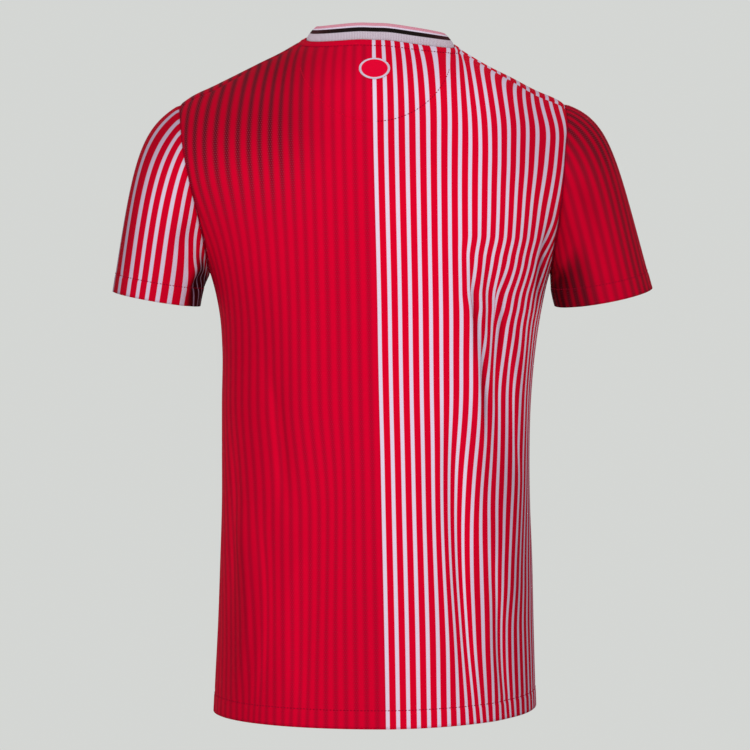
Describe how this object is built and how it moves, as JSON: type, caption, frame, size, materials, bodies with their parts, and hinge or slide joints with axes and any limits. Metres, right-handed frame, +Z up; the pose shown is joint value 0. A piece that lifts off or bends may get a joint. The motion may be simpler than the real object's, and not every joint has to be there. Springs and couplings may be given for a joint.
{
  "type": "football jersey",
  "caption": "Short-sleeved crew-neck football jersey filled out as worn, hollow, with open neck, cuffs and hem; red and pinstriped halves.",
  "frame": {"origin": "middle of the neck opening, level with the points where the neck meets the shoulders, where the wearer's shoulders carry it", "axes": "+Z up, -Y out of the back, +Y out of the front, +X to the wearer's right"},
  "size_m": [0.5752, 0.2453, 0.7293],
  "materials": {
    "halved_knit": "smooth polyester knit, one half tonal red stripes, the other half red with white pinstripes",
    "pinstripe_knit": "smooth polyester knit, red with white pinstripes",
    "red_knit": "smooth polyester knit, tonal red stripes",
    "rib": "pale grey ribbed knit with one black stripe and a pink edge",
    "patch": "plain heat-pressed oval, red with a white edge"
  },
  "bodies": {
    "root": {"back": "halved_knit", "front": "halved_knit", "sleeve_left": "pinstripe_knit", "sleeve_right": "red_knit", "collar": "rib", "nape_patch": "patch"}
  },
  "joints": []
}
